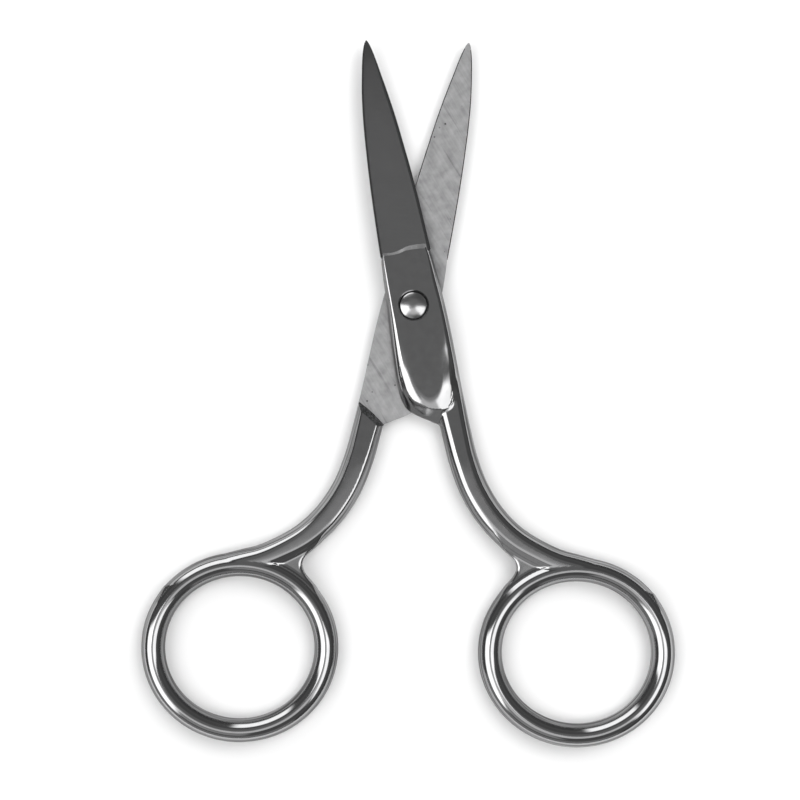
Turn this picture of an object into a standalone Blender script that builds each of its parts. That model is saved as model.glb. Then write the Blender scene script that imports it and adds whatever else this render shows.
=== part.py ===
"""Eyebrow scissors, 4 inch pattern, lying flat and a little open.

Two forged halves, alike but turned over, cross at a domed pivot rivet. Each half is a
short pointed blade, a flat joint plate, a curved shank and a finger bow. The halves are
drawn closed, points along +Y, and are then turned apart about the pivot.

Units are metres. The origin is on the pivot axis, on the face that the scissors lie on.
"""

import math

import bmesh
import bpy
from mathutils import Matrix, Vector
from mathutils.geometry import intersect_point_line

mm = 0.001

# Whole tool
total_thickness = 3.6 * mm          # over both joint plates, flat to flat
face_gap = 0.1 * mm                 # running gap between the two inner faces
rest_opening = math.radians(22.0)   # angle between the halves as they lie
overrun = 1.0 * mm                  # how far every cutter runs past what it cuts
half_thickness = total_thickness / 2
inner_face = half_thickness + face_gap / 2
turned_sides = 48                   # sides of every turned shape
section_sides = 16                  # sides of the shank's and the bow's sections
weld_distance = 0.0001 * mm
smooth_angle = math.radians(30.0)   # faces that meet at less than this are shaded as one

# Blade, from the pivot axis to the point
blade_reach = 37.65 * mm            # pivot axis to point
ground_start = 7.4 * mm             # pivot axis to the line where the ground face begins
blade_overlap = 2.6 * mm            # the blade's root runs this far back into the joint plate
spine_width = 3.34 * mm             # axis to spine, at the start of the ground face
edge_width = 3.75 * mm              # axis to cutting edge, at the same place
spine_thickness = 1.58 * mm         # at the same place
edge_thickness = 1.40 * mm          # height of the cutting bevel at the same place
spine_chamfer = 0.28 * mm
bevel_run_share = 0.50              # plan width of the cutting bevel to its height

# Along the ground face, and there the spine's and the edge's width and thickness
blade_shares = (
    (0.00, 1.000, 1.000, 1.00, 1.00),
    (0.09, 0.982, 0.960, 0.97, 0.80),
    (0.18, 0.958, 0.920, 0.94, 0.62),
    (0.34, 0.900, 0.828, 0.89, 0.46),
    (0.50, 0.812, 0.700, 0.83, 0.42),
    (0.64, 0.705, 0.575, 0.78, 0.41),
    (0.75, 0.583, 0.445, 0.73, 0.40),
    (0.84, 0.440, 0.322, 0.68, 0.39),
    (0.91, 0.310, 0.227, 0.63, 0.38),
    (0.96, 0.192, 0.140, 0.57, 0.37),
    (0.99, 0.085, 0.065, 0.50, 0.35),
    (1.00, 0.030, 0.022, 0.46, 0.34),
)

# Joint plate round the pivot
plate_left = 3.85 * mm              # axis to the side that carries the spine
plate_right = 4.40 * mm             # axis to the side that runs into the shank
plate_drop = 17.4 * mm              # axis to the rounded end, towards the bow
plate_steps = 3                     # points drawn for each point of the outline
plate_levels = 5                    # levels from the inner face to the flat top

# Outline of the plate where it meets the inner face, then the border of its flat top.
# Across, a share is of plate_left or plate_right; along, of plate_drop or ground_start.
plate_shares = (
    (-0.867, 1.068, -0.790, 0.966),
    (-0.909, 0.608, -0.766, 0.608),
    (-0.940, 0.135, -0.753, 0.135),
    (-0.961, -0.173, -0.727, -0.173),
    (-0.987, -0.405, -0.714, -0.405),
    (-1.000, -0.595, -0.753, -0.566),
    (-0.971, -0.723, -0.740, -0.671),
    (-0.857, -0.809, -0.636, -0.740),
    (-0.597, -0.864, -0.416, -0.789),
    (-0.208, -0.928, -0.156, -0.827),
    (0.159, -0.980, 0.136, -0.853),
    (0.523, -1.000, 0.398, -0.858),
    (0.841, -0.942, 0.591, -0.832),
    (0.977, -0.809, 0.693, -0.775),
    (1.000, -0.624, 0.716, -0.636),
    (0.993, -0.434, 0.791, -0.434),
    (0.984, -0.202, 0.784, -0.202),
    (0.973, 0.000, 0.755, 0.000),
    (0.936, 0.405, 0.709, 0.405),
    (0.875, 0.784, 0.700, 0.784),
    (0.770, 1.068, 0.693, 1.007),
    (0.295, 1.095, 0.277, 1.022),
    (-0.156, 1.047, -0.145, 0.968),
    (-0.571, 1.047, -0.571, 0.970),
)

# Shoulder, where the inner face ends and the shank has its full thickness
shoulder_slope = 0.85 * mm          # how far the step leans back over half the thickness
shoulder_shares = ((1.90, -0.76), (0.975, -0.855), (0.577, -0.908), (0.273, -0.960), (0.002, -1.012),
                   (-0.60, -1.15), (-1.60, -1.45))

# Shank
shank_width = 4.1 * mm
shank_height = 3.4 * mm
shank_roundness = 2.8               # power of the section's curve: 2 is an ellipse
shank_detail = 3                    # sections for each point of the centre line
shank_start_shares = ((0.46, -0.38), (0.535, -0.60), (0.600, -0.809))
shank_shares = ((0.014, 0.159), (0.041, 0.341), (0.114, 0.516), (0.258, 0.675), (0.493, 0.825),
                (0.736, 0.921))
shank_width_shares = (0.94, 1.0, 1.0, 1.0, 1.0, 1.0, 0.99, 0.97, 0.94, 0.92, 0.86, 0.78, 0.66)

# Finger bow
bow_across = 13.95 * mm             # axis to bow centre, across the closed scissors
bow_down = 51.75 * mm               # axis to bow centre, along the closed scissors
bow_inner_length = 20.88 * mm       # inside, along the longer way
bow_inner_width = 19.86 * mm        # inside, along the shorter way
bow_turn = math.radians(-13.0)      # direction of the longer way
bow_tube_width = 3.36 * mm
bow_tube_height = 3.6 * mm
bow_roundness = 2.3
bow_points = 12                     # points of the bow's centre line
bow_detail = 5                      # sections for each of them
wrap_proud = 1.05 * mm              # the shank's centre line over the bow's, at the bow's top
wrap_angles = tuple(math.radians(angle) for angle in (90.0, 80.0, 68.0, 54.0))
wrap_shares = (1.0, 0.35, 0.02, -0.10)

# Web in the fork between shank and bow, hollowed by a corner that touches both
fork_radius = 2.7 * mm
fork_sides = 10
fork_round = 1.1 * mm               # radius that rounds the web's edge over
fork_height = 1.45 * mm             # half the height of the web before its top is cut
fork_levels = 2                     # levels above and below the web's middle
fork_level_turn = math.radians(30.0)
corner_halvings = 40                # how often the search for the corner halves its angle

# Pivot rivet: a domed head, a plain shank and a tail spread into the rear half
head_diameter = 3.9 * mm
head_rise = 0.42 * mm
head_edge = 0.06 * mm               # upright edge of the head above the plate
dome_rings = 8
seat_depth = 0.35 * mm              # how deep the head sits in the front plate
rim_chamfer = 0.18 * mm             # at the mouth of the head's seat
rivet_diameter = 2.2 * mm
rivet_clearance = 0.05 * mm         # running clearance all round the rivet
tail_diameter = 3.0 * mm
tail_depth = 0.7 * mm
bore_radius = rivet_diameter / 2 + rivet_clearance

# Polished plating, as red, green and blue shares, and how rough it is
plating_colour = (0.66, 0.66, 0.67)
plating_roughness = 0.12
rivet_colour = (0.70, 0.70, 0.71)
rivet_roughness = 0.10


def new_collection(name):
    collection = bpy.data.collections.new(name)
    bpy.context.scene.collection.children.link(collection)
    return collection


def polished_steel(name, colour, roughness):
    material = bpy.data.materials.new(name)
    material.use_nodes = True
    shader = material.node_tree.nodes["Principled BSDF"]
    shader.inputs["Base Color"].default_value = (*colour, 1.0)
    shader.inputs["Metallic"].default_value = 1.0
    shader.inputs["Roughness"].default_value = roughness
    return material


def new_object(name, data, collection, parent=None):
    made = bpy.data.objects.new(name, data)
    collection.objects.link(made)
    made.parent = parent
    return made


def guide(made):
    """Marks a shape that only joins or cuts another."""
    made.hide_render = True
    made.display_type = "WIRE"
    return made


def loft(name, rings):
    """A closed mesh through rings that have the same number of points."""
    shape = bmesh.new()
    rows = [[shape.verts.new(point) for point in ring] for ring in rings]
    count = len(rings[0])
    for low, high in zip(rows, rows[1:]):
        for first in range(count):
            second = (first + 1) % count
            shape.faces.new((low[first], low[second], high[second], high[first]))
    shape.faces.new(rows[0])
    shape.faces.new(rows[-1])
    bmesh.ops.recalc_face_normals(shape, faces=shape.faces)
    mesh = bpy.data.meshes.new(name)
    shape.to_mesh(mesh)
    shape.free()
    return mesh


def smooth_loop(points, steps):
    """Points on a smooth closed curve through the given ones."""
    count = len(points)
    result = []
    for index in range(count):
        before, start, end, after = (Vector(points[(index + offset) % count]) for offset in (-1, 0, 1, 2))
        for step in range(steps):
            t = step / steps
            result.append(0.5 * (2 * start + (end - before) * t
                                 + (2 * before - 5 * start + 4 * end - after) * t ** 2
                                 + (3 * start - before - 3 * end + after) * t ** 3))
    return result


def rounded_section(width, height, power):
    """A closed section between an ellipse and a rectangle, flatter as its power grows."""
    points = []
    for index in range(section_sides):
        angle = math.tau * index / section_sides
        across = math.copysign(abs(math.cos(angle)) ** (2 / power), math.cos(angle))
        up = math.copysign(abs(math.sin(angle)) ** (2 / power), math.sin(angle))
        points.append((across * width / 2, up * height / 2))
    return points


def section_curve(name, points, collection):
    """A flat closed curve that a bent bar takes its section from."""
    curve = bpy.data.curves.new(name, "CURVE")
    curve.dimensions = "2D"
    spline = curve.splines.new("POLY")
    spline.points.add(len(points) - 1)
    for point, (across, up) in zip(spline.points, points):
        point.co = (across, up, 0, 1)
    spline.use_cyclic_u = True
    return guide(new_object(name, curve, collection))


def bent_bar(name, spline_points, section, collection, parent, detail, closed=False):
    """A bar of the given section along a smooth line, made a welded mesh."""
    curve = bpy.data.curves.new(name, "CURVE")
    curve.dimensions = "3D"
    curve.twist_mode = "Z_UP"
    curve.bevel_mode = "OBJECT"
    curve.bevel_object = section
    curve.use_fill_caps = not closed
    curve.resolution_u = detail
    spline = curve.splines.new("BEZIER")
    spline.bezier_points.add(len(spline_points) - 1)
    for point, (place, radius) in zip(spline.bezier_points, spline_points):
        point.co = place
        point.radius = radius
        point.handle_left_type = "AUTO"
        point.handle_right_type = "AUTO"
    spline.use_cyclic_u = closed
    bar = new_object(name, curve, collection)
    bpy.context.view_layer.update()
    evaluated = bar.evaluated_get(bpy.context.evaluated_depsgraph_get())
    mesh = bpy.data.meshes.new_from_object(evaluated)
    welded = bmesh.new()
    welded.from_mesh(mesh)
    bmesh.ops.remove_doubles(welded, verts=welded.verts, dist=weld_distance)
    bmesh.ops.recalc_face_normals(welded, faces=welded.faces)
    welded.to_mesh(mesh)
    welded.free()
    bpy.data.objects.remove(bar)
    return guide(new_object(name, mesh, collection, parent))


def turned(name, profile, collection, parent=None):
    """A shape turned about Z from a profile that runs from the top down its outer side."""
    mesh = bpy.data.meshes.new(name)
    mesh.from_pydata([(radius, 0, height) for radius, height in profile],
                     [(index, index + 1) for index in range(len(profile) - 1)], [])
    made = new_object(name, mesh, collection, parent)
    screw = made.modifiers.new("Screw", "SCREW")
    screw.axis = "Z"
    screw.steps = turned_sides
    screw.render_steps = turned_sides
    screw.use_merge_vertices = True
    screw.merge_threshold = weld_distance
    return made


def add_boolean(made, tool, operation):
    modifier = made.modifiers.new(tool.name, "BOOLEAN")
    modifier.operation = operation
    modifier.solver = "EXACT"
    modifier.object = tool


def plate_place(across_share, along_share):
    across = across_share * (plate_left if across_share < 0 else plate_right)
    along = along_share * (plate_drop if along_share < 0 else ground_start)
    return across, along


def blade_mesh(name):
    """The ground blade: a low wedge with a chamfered spine and a bevelled cutting edge."""
    low = inner_face - overrun
    ground_length = blade_reach - ground_start
    stations = [(ground_start - blade_overlap, *blade_shares[0][1:])]
    stations += [(ground_start + share * ground_length, *rest) for share, *rest in blade_shares]
    rings = []
    for along, spine_share, edge_share, spine_up_share, edge_up_share in stations:
        spine = -spine_width * spine_share
        edge = edge_width * edge_share
        spine_up = spine_thickness * spine_up_share
        edge_up = edge_thickness * edge_up_share
        chamfer = min(spine_chamfer, -spine / 2)
        bevel = min(edge_up * bevel_run_share, edge / 2)
        bevel_below = overrun * bevel / edge_up
        rings.append([
            (edge + bevel_below, along, low),
            (edge - bevel, along, inner_face + edge_up),
            (spine + chamfer, along, inner_face + spine_up),
            (spine, along, inner_face + spine_up - chamfer),
            (spine, along, low),
        ])
    return loft(name, rings)


def plate_mesh(name):
    """The joint plate: its outline at the inner face rounds over to a smaller flat top."""
    foot = smooth_loop([(*plate_place(a, b), 0) for a, b, _, _ in plate_shares], plate_steps)
    flat = smooth_loop([(*plate_place(c, d), 0) for _, _, c, d in plate_shares], plate_steps)
    rings = [[(point.x, point.y, inner_face - overrun) for point in foot]]
    for level in range(plate_levels + 1):
        angle = math.pi / 2 * level / plate_levels
        inward = 1 - math.cos(angle)
        height = inner_face + (total_thickness - inner_face) * math.sin(angle)
        rings.append([(*low.lerp(high, inward).xy, height) for low, high in zip(foot, flat)])
    return loft(name, rings)


def bow_point(angle, proud):
    """A point on the bow's centre line, or outside it by the given amount."""
    long_way = (bow_inner_length + bow_tube_width) / 2 + proud
    short_way = (bow_inner_width + bow_tube_width) / 2 + proud
    local = Vector((long_way * math.cos(angle - bow_turn), short_way * math.sin(angle - bow_turn), 0))
    return Matrix.Rotation(bow_turn, 3, "Z") @ local + Vector((bow_across, -bow_down, half_thickness))


def shank_points():
    """The shank's centre line and how wide it is there, from the joint plate to the bow."""
    start = [Vector((*plate_place(*share), half_thickness)) for share in shank_start_shares]
    wrap = [bow_point(angle, wrap_proud * share) for angle, share in zip(wrap_angles, wrap_shares)]
    span = wrap[0] - start[-1]
    middle = [start[-1] + Vector((span.x * across, span.y * along, 0)) for across, along in shank_shares]
    return list(zip(start + middle + wrap, shank_width_shares))


def nearest_on_shank(corner):
    """The shank centre line's nearest place to a point."""
    places = [place for place, _ in shank_points()]
    best = None
    for low, high in zip(places, places[1:]):
        foot, share = intersect_point_line(corner, low, high)
        foot = low.lerp(high, min(max(share, 0), 1))
        if best is None or (foot - corner).length < (best - corner).length:
            best = foot
    return best


def fork_corner():
    """The centre of the fork's corner, found by halving the angle that holds it."""
    outer = (bow_inner_length + bow_inner_width) / 4 + bow_tube_width
    bow_centre = Vector((bow_across, -bow_down, half_thickness))
    near, far = math.pi / 2, math.pi
    for _ in range(corner_halvings):
        direction = (near + far) / 2
        corner = bow_centre + (outer + fork_radius) * Vector((math.cos(direction), math.sin(direction), 0))
        if (nearest_on_shank(corner) - corner).length < shank_width / 2 + fork_radius:
            near = direction
        else:
            far = direction
    return corner, direction


def fork_mesh(name):
    """The web in the fork, hollowed to a round corner whose edge is itself rounded."""
    corner, direction = fork_corner()
    toward_bow = direction - math.pi
    to_shank = nearest_on_shank(corner) - corner
    toward_shank = math.atan2(to_shank.y, to_shank.x)
    rings = []
    for level in range(-fork_levels, fork_levels + 1):
        angle = fork_level_turn * level
        radius = fork_radius + fork_round * (1 - math.cos(angle))
        lift = Vector((0, 0, fork_height * math.sin(angle)))
        ring = []
        for step in range(fork_sides + 1):
            turn = toward_bow + (toward_shank - toward_bow) * step / fork_sides
            ring.append(corner + radius * Vector((math.cos(turn), math.sin(turn), 0)) + lift)
        ring.append(corner + to_shank + lift)
        ring.append(bow_point(wrap_angles[0], wrap_proud) + lift)
        ring.append(bow_point(wrap_angles[0], 0) + lift)
        ring.append(bow_point(direction, 0) + lift)
        rings.append(ring)
    return loft(name, rings)


def joint_cutter_mesh(name):
    """Clears the other half's layer, up to the leaning shoulder at the top of the shank."""
    reach = blade_reach + overrun
    side = bow_across                # well past the widest thing cut
    below_lean = shoulder_slope * (inner_face + overrun) / half_thickness
    rings = []
    for height, lean in ((inner_face, 0), (-overrun, below_lean)):
        shoulder = [Vector((*plate_place(*share), height)) - Vector((0, lean, 0)) for share in shoulder_shares]
        far = [Vector((-side, shoulder[-1].y, height)), Vector((-side, reach, height)),
               Vector((side, reach, height)), Vector((side, shoulder[0].y, height))]
        rings.append(shoulder + far)
    return loft(name, rings)


def head_hole_profile():
    """The bore, with a straight-sided seat for the rivet's head, chamfered at its mouth."""
    seat_radius = head_diameter / 2 + rivet_clearance
    seat_floor = total_thickness - seat_depth
    above = total_thickness + overrun
    return [(0, above), (seat_radius + rim_chamfer + overrun, above),
            (seat_radius, total_thickness - rim_chamfer), (seat_radius, seat_floor),
            (bore_radius, seat_floor), (bore_radius, -overrun), (0, -overrun)]


def tail_hole_profile():
    """The bore, with a cone for the rivet's spread tail."""
    mouth_radius = tail_diameter / 2 + rivet_clearance
    widening = (mouth_radius - bore_radius) / tail_depth
    above = total_thickness + overrun
    return [(0, above), (mouth_radius + overrun * widening, above),
            (bore_radius, total_thickness - tail_depth), (bore_radius, -overrun), (0, -overrun)]


def scissor_half(name, pose, hole, material, parts, tools):
    """One forging, drawn closed with its own outer flat up, then carried by its pose."""
    half = new_object(name, blade_mesh(name), parts, pose)
    plate = guide(new_object(name + "_plate", plate_mesh(name + "_plate"), tools, pose))
    section = section_curve(name + "_shank_section",
                            rounded_section(shank_width, shank_height, shank_roundness), tools)
    shank = bent_bar(name + "_shank", shank_points(), section, tools, pose, shank_detail)
    section = section_curve(name + "_bow_section",
                            rounded_section(bow_tube_width, bow_tube_height, bow_roundness), tools)
    bow_line = [(bow_point(bow_turn + math.tau * index / bow_points, 0), 1.0) for index in range(bow_points)]
    bow = bent_bar(name + "_bow", bow_line, section, tools, pose, bow_detail, closed=True)
    fork = guide(new_object(name + "_fork", fork_mesh(name + "_fork"), tools, pose))
    for joined in (plate, shank, bow, fork):
        add_boolean(half, joined, "UNION")
    cutter = joint_cutter_mesh(name + "_joint_cut")
    add_boolean(half, guide(new_object(name + "_joint_cut", cutter, tools, pose)), "DIFFERENCE")
    add_boolean(half, guide(turned(name + "_bore_cut", hole, tools, pose)), "DIFFERENCE")
    half.data.materials.append(material)
    half.data.shade_smooth()
    half.data.set_sharp_from_angle(angle=smooth_angle)


def rivet_profile():
    """Half outline of the rivet, from the top of its dome down to the end of its tail."""
    head = head_diameter / 2
    shank = rivet_diameter / 2
    edge_height = total_thickness + head_edge
    dome = head_rise - head_edge
    sphere = (head ** 2 + dome ** 2) / (2 * dome)
    widest = math.asin(head / sphere)
    profile = []
    for ring in range(dome_rings + 1):
        angle = widest * ring / dome_rings
        height = edge_height + dome - sphere * (1 - math.cos(angle))
        profile.append((sphere * math.sin(angle), height))
    seat = total_thickness - seat_depth + rivet_clearance
    profile += [(head, seat), (shank, seat), (shank, tail_depth), (tail_diameter / 2, 0), (0, 0)]
    return profile


for old in list(bpy.data.objects):
    bpy.data.objects.remove(old)

parts = new_collection("eyebrow_scissors")
tools = new_collection("construction")

plated_steel = polished_steel("plated_steel", plating_colour, plating_roughness)
rivet_steel = polished_steel("rivet_steel", rivet_colour, rivet_roughness)

front_pose = new_object("front_pose", None, parts)
front_pose.rotation_euler = (0, 0, rest_opening / 2)
rear_pose = new_object("rear_pose", None, parts)
rear_pose.location = (0, 0, total_thickness)
rear_pose.rotation_euler = (0, math.pi, -rest_opening / 2)

scissor_half("front_half", front_pose, head_hole_profile(), plated_steel, parts, tools)
scissor_half("rear_half", rear_pose, tail_hole_profile(), plated_steel, parts, tools)

rivet = turned("pivot_rivet", rivet_profile(), parts)
rivet.data.materials.append(rivet_steel)
rivet.modifiers["Screw"].use_smooth_shade = True
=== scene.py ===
"""Looks of the eyebrow scissors: two polished halves and a domed rivet, seen from above.

Units are metres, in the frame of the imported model. Each half is drawn closed, its own
outer flat up and its point along +Y, and then turned to where it lies.
"""

import math

import bmesh
import bpy
import numpy as np
from mathutils import Matrix, Vector
from mathutils.kdtree import KDTree


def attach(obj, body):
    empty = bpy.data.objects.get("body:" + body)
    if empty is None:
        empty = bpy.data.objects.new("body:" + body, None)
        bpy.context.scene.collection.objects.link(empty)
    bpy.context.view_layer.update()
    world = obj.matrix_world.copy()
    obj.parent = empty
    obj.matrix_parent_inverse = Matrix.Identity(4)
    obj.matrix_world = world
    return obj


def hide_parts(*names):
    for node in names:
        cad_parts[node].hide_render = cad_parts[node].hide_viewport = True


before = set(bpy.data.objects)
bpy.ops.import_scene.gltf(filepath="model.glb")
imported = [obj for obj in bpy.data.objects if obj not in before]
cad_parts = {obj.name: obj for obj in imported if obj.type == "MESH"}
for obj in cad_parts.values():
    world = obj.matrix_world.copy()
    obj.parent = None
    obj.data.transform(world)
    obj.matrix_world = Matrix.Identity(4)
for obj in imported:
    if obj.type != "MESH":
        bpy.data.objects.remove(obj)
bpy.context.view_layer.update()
mm = 0.001

# Handle of one half
# The shank, the finger bow and the joint plate are one hot forging in steel, ground, polished
# and plated. It is drawn as one smooth skin, so every meeting of two forms has its fillet.
total_thickness = 3.6 * mm
face_gap = 0.1 * mm
half_thickness = total_thickness / 2
inner_face = half_thickness + face_gap / 2
overrun = 1.0 * mm                  # how far forms that are joined or cut run past each other
skin_pitch = 0.17 * mm              # size of the skin's faces
outline_steps = 12                  # points drawn between two of an outline's own

ground_start = 7.4 * mm             # pivot axis to the line where the ground face begins
plate_left = 3.85 * mm              # pivot axis to the plate's sides and to its end
plate_right = 4.40 * mm
plate_drop = 17.4 * mm
plate_power = 2.1                   # of the border's curve: 1 is a bevel, 2 a quarter ellipse
plate_low_power = 1.05              # at the end towards the shank
plate_low = (0.45, 0.85)            # shares of the drop between which one turns into the other
plate_core = 0.05                   # nearer the plate's middle than this share, depth stays the same
plate_scale = 0.3 * mm              # the least depth of the plate's middle
plate_shares = (                    # outline at the inner face, then border of the flat top
    (-0.720, 1.300, -0.600, 1.250),
    (-0.845, 1.000, -0.740, 1.000),
    (-0.909, 0.608, -0.766, 0.608),
    (-0.940, 0.135, -0.753, 0.135),
    (-1.010, -0.173, -0.727, -0.173),
    (-1.065, -0.405, -0.735, -0.405),
    (-1.075, -0.595, -0.755, -0.566),
    (-1.030, -0.723, -0.735, -0.671),
    (-0.890, -0.809, -0.620, -0.732),
    (-0.600, -0.870, -0.410, -0.780),
    (-0.208, -0.928, -0.156, -0.823),
    (0.159, -0.980, 0.136, -0.850),
    (0.523, -1.000, 0.398, -0.858),
    (0.841, -0.942, 0.620, -0.836),
    (1.000, -0.809, 0.720, -0.780),
    (1.045, -0.624, 0.730, -0.636),
    (1.045, -0.434, 0.785, -0.434),
    (1.030, -0.202, 0.790, -0.202),
    (0.990, 0.000, 0.765, 0.000),
    (0.936, 0.405, 0.709, 0.405),
    (0.875, 0.784, 0.700, 0.784),
    (0.825, 1.000, 0.675, 1.000),
    (0.690, 1.300, 0.560, 1.250),
    (0.230, 1.380, 0.200, 1.330),
    (-0.300, 1.380, -0.270, 1.330),
)
cushion_middle = (0.2 * mm, -9.5 * mm)  # the flat falls off towards the shank, as a dome would
cushion_half = (3.3 * mm, 5.9 * mm)
cushion_drop = 0.27 * mm
cushion_start = 0.58                # share of the way out where the fall begins
cushion_end = 1.2                   # share of the rest of the way at which it stops growing
cushion_low = 13.0 * mm             # the fall is whole this far below the pivot
cushion_high = 4.0 * mm             # and gone above here

shank_width = 4.1 * mm
shank_height = 3.4 * mm
shank_draft = math.radians(29.0)    # lean of the section's sides
shank_edge = 0.6 * mm               # how widely the section's edges are rounded
shank_inner_edge = 0.22 * mm        # the same on the face that looks to the other half
shank_crown = 24.0 * mm             # radius of its top
shank_start_shares = ((0.460, -0.380), (0.535, -0.600), (0.600, -0.809))
shank_shares = ((0.014, 0.159), (0.041, 0.341), (0.114, 0.516), (0.258, 0.675), (0.493, 0.825),
                (0.736, 0.921))
shank_width_shares = (0.94, 1.0, 1.0, 1.0, 1.0, 1.0, 0.99, 0.97, 0.94, 0.92, 0.86, 0.78, 0.66)
shank_height_shares = (0.40, 0.52, 0.74, 0.88, 0.98, 1, 1, 1, 1, 1, 1, 1, 1)
shank_bow_shares = (0, 0, 0, 0, 0, 0.03, 0.16, 0.38, 0.62, 0.80, 0.93, 1, 1)

bow_across = 13.95 * mm
bow_down = 51.75 * mm
bow_inner_length = 20.88 * mm
bow_inner_width = 19.86 * mm
bow_turn = math.radians(-13.0)
bow_tube_width = 3.36 * mm
bow_tube_height = 3.6 * mm
bow_draft = math.radians(24.0)
bow_edge = 0.8 * mm
bow_crown = 2.3 * mm
parting_round = 0.60 * mm           # where the two sides of a section meet
bow_long = (bow_inner_length + bow_tube_width) / 2
bow_short = (bow_inner_width + bow_tube_width) / 2
wrap_proud = 1.05 * mm              # the shank's centre line over the bow's, at the bow's top
wrap_angles = tuple(math.radians(angle) for angle in (90.0, 80.0, 68.0, 54.0))
wrap_shares = (1.0, 0.35, 0.02, -0.10)
wrap_sink = 0.06 * mm               # the wrap's end lies this far below the bow's top

web_height = 2.5 * mm               # of the web that fills the fork
web_spread = 4.4 * mm               # how far the fork's corner is rounded
web_sink = 1.8 * mm                 # the web lies this far inside a form that stands alone
web_alone = (0.8 * web_spread, 2.4 * web_spread)    # one form is nearer by this where it stands alone
fork_reach = 1.2 * mm               # the web is whole this far inside both centre lines
fillet = 0.5 * mm                   # in the fork
web_edge = 0.6 * fillet             # how widely the web's own edges are rounded
seam_fillet = 0.30 * mm             # where two forms run into each other side by side
seam_loss = 0.9                     # share of it that is gone where the shank has become bow
plate_fillet = 0.35 * mm
ellipse_rounds = 4                  # of Newton's method, for a place's nearest point of the bow


def smooth_line(rows, steps, closed=False):
    """A smooth curve through rows of values, whose first two columns are its places."""
    rows = np.array(rows, float)
    if closed:
        rows = np.vstack((rows[-2:], rows, rows[:3]))
    at = np.concatenate(([0], np.cumsum(np.hypot(*np.diff(rows[:, :2], axis=0).T))))
    slopes = np.gradient(rows, at, axis=0)
    spans = range(2, len(rows) - 3) if closed else range(len(rows) - 1)
    t = np.arange(steps)[:, None] / steps
    line = []
    for i in spans:
        gap = at[i + 1] - at[i]
        line.append((1 + 2 * t) * (1 - t) ** 2 * rows[i] + t * (1 - t) ** 2 * gap * slopes[i]
                    + t ** 2 * (3 - 2 * t) * rows[i + 1] - t ** 2 * (1 - t) * gap * slopes[i + 1])
    line.append(line[0][:1] if closed else rows[-1:])
    return np.vstack(line)


def plate_place(across_share, along_share):
    """A place that is given in shares of the joint plate's sizes."""
    across = across_share * (plate_left if across_share < 0 else plate_right)
    along = along_share * (plate_drop if along_share < 0 else ground_start)
    return across, along


def bow_place(angle, proud):
    """A point on the bow's centre line, or outside it by the given amount."""
    local = Vector(((bow_long + proud) * math.cos(angle - bow_turn),
                    (bow_short + proud) * math.sin(angle - bow_turn)))
    return Matrix.Rotation(bow_turn, 2) @ local + Vector((bow_across, -bow_down))


def shank_rows():
    """Places along the shank's centre line, its half width and height, its share of the bow."""
    start = [Vector(plate_place(*share)) for share in shank_start_shares]
    wrap = [bow_place(angle, wrap_proud * share) for angle, share in zip(wrap_angles, wrap_shares)]
    span = wrap[0] - start[-1]
    middle = [start[-1] + Vector((span.x * across, span.y * along)) for across, along in shank_shares]
    return [(*place, shank_width / 2 * width, shank_height / 2 * height, bow_share)
            for place, width, height, bow_share in zip(
                start + middle + wrap, shank_width_shares, shank_height_shares, shank_bow_shares)]


class Line:
    """A polyline that tells each place its offset to the left and the line's nearest row."""

    def __init__(self, rows):
        self.rows = rows
        self.tree = KDTree(len(rows))
        for index, row in enumerate(rows):
            self.tree.insert((row[0], row[1], 0), index)
        self.tree.balance()

    def nearest(self, places):
        found = np.array([self.tree.find((x, y, 0))[1] for x, y in places.tolist()])
        best = None
        for first in (found - 1, found):
            first = np.clip(first, 0, len(self.rows) - 2)
            start, span = self.rows[first], self.rows[first + 1] - self.rows[first]
            gap = places - start[:, :2]
            share = np.clip((gap * span[:, :2]).sum(1) / (span[:, :2] ** 2).sum(1), 0, 1)[:, None]
            gap -= share * span[:, :2]
            side = span[:, 0] * gap[:, 1] - span[:, 1] * gap[:, 0]
            offset = np.copysign(np.hypot(*gap.T), side)
            row = start + share * span
            if best is not None:
                nearer = np.abs(offset) < np.abs(best[0])
                offset = np.where(nearer, offset, best[0])
                row = np.where(nearer[:, None], row, best[1])
            best = offset, row
        return best


plate_foot = Line(smooth_line([plate_place(*row[:2]) for row in plate_shares], outline_steps, True))
plate_flat = Line(smooth_line([plate_place(*row[2:]) for row in plate_shares], outline_steps, True))
shank_line = Line(smooth_line(shank_rows(), 2 * outline_steps))


def bow_offset(places):
    """Each place's distance outside the bow's centre line."""
    turn = np.array(Matrix.Rotation(-bow_turn, 2))
    x, y = turn @ (places - (bow_across, -bow_down)).T
    angle = np.arctan2(y / bow_short, x / bow_long)
    spread = bow_long ** 2 - bow_short ** 2
    for _ in range(ellipse_rounds):
        sine, cosine = np.sin(angle), np.cos(angle)
        slope = bow_long * x * sine - bow_short * y * cosine - spread * sine * cosine
        bend = bow_long * x * cosine + bow_short * y * sine - spread * (cosine ** 2 - sine ** 2)
        angle -= slope / np.maximum(bend, bow_short * bow_tube_width)
    gap = np.hypot(x - bow_long * np.cos(angle), y - bow_short * np.sin(angle))
    outside = (x / bow_long) ** 2 + (y / bow_short) ** 2 > 1
    return np.where(outside, gap, -gap)


def forged_bar(across, up, half_width, half_height, draft, edge, crown):
    """How far a point lies outside a bar's section: a crowned top between leaning sides."""
    rounded = np.hypot(up, parting_round) - parting_round
    up = rounded * half_height / (np.hypot(half_height, parting_round) - parting_round)
    side = (np.abs(across) - half_width) * np.cos(draft) + up * np.sin(draft)
    top = up + across ** 2 / (2 * crown) - half_height
    return -blended(-side, -top, edge)


def ease(low, high, value):
    """0 below low, 1 above high, and a smooth rise between them."""
    t = np.clip((value - low) / (high - low), 0, 1)
    return t * t * (3 - 2 * t)


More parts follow.
